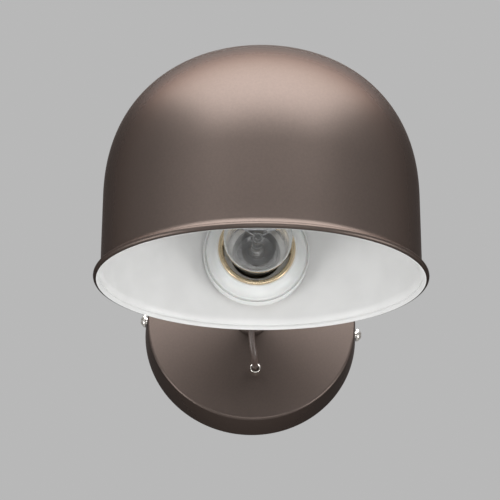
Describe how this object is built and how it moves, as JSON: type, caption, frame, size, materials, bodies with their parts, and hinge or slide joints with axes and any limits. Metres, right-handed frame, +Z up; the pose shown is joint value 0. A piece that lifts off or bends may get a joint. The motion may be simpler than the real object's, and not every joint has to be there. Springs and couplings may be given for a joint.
{
  "type": "wall reading lamp",
  "caption": "Bedside wall lamp: round backplate, short bent arm with a tilting knuckle, deep domed metal shade with a flared lip, white inside, and a clear candle bulb.",
  "frame": {"origin": "middle of the mounting plane on the wall, on the axis of the round backplate", "axes": "+Z up, +X to the right as seen from the room, +Y into the wall; the lamp stands out along -Y"},
  "size_m": [0.1626, 0.2438, 0.1392],
  "materials": {
    "bronze_paint": "satin",
    "white_paint": "satin",
    "nickel": "polished",
    "zinc_steel": "satin",
    "brass": "polished",
    "white_plastic": "matte",
    "porcelain": "glossy",
    "clear_glass": "clear",
    "black_glass": "glossy",
    "cord_sheath": "satin",
    "live_sheath": "satin",
    "neutral_sheath": "satin",
    "earth_sheath": "satin",
    "gland_rubber": "matte",
    "fibre": "matte",
    "solder": "satin",
    "wire": "satin"
  },
  "bodies": {
    "wall_plate": {"wall_bracket": "zinc_steel", "earth_screw": "brass", "earth_tag": "solder", "backplate_cup": "bronze_paint", "side_screws": "nickel", "terminal_block": "white_plastic", "terminal_screws": "brass", "live_lead": "live_sheath", "neutral_lead": "neutral_sheath", "earth_lead": "earth_sheath", "cord_eyelet": "nickel", "eyelet_nut": "nickel", "supply_cord": "cord_sheath", "arm_nipple": "zinc_steel", "arm_nut": "zinc_steel", "arm_lock_washer": "zinc_steel", "arm_flange": "bronze_paint", "arm_tube": "bronze_paint", "knuckle_fork": "bronze_paint", "friction_washers": "fibre", "knuckle_bolt": "nickel", "knuckle_nut": "nickel"},
    "lamp_head": {"knuckle_tongue": "bronze_paint", "holder_nut": "zinc_steel", "lampholder_cap": "bronze_paint", "cord_gland": "gland_rubber", "holder_leads": "cord_sheath", "lampholder_skirt": "brass", "insulating_core": "porcelain", "core_screws": "brass", "screw_shell": "brass", "centre_contact": "brass", "shade": "bronze_paint", "shade_ring": "white_plastic", "bulb_glass": "clear_glass", "bulb_cap": "brass", "bulb_insulator": "black_glass", "bulb_contact": "solder", "bulb_stem": "clear_glass", "bulb_filament": "wire"}
  },
  "joints": [
    {"name": "head_tilt", "type": "hinge", "parent": "wall_plate", "child": "lamp_head", "pos_m": [0, -0.04991, 0.01268], "axis": [1, 0, 0], "range_deg": [-40, 40], "deforming": ["supply_cord"]}
  ]
}
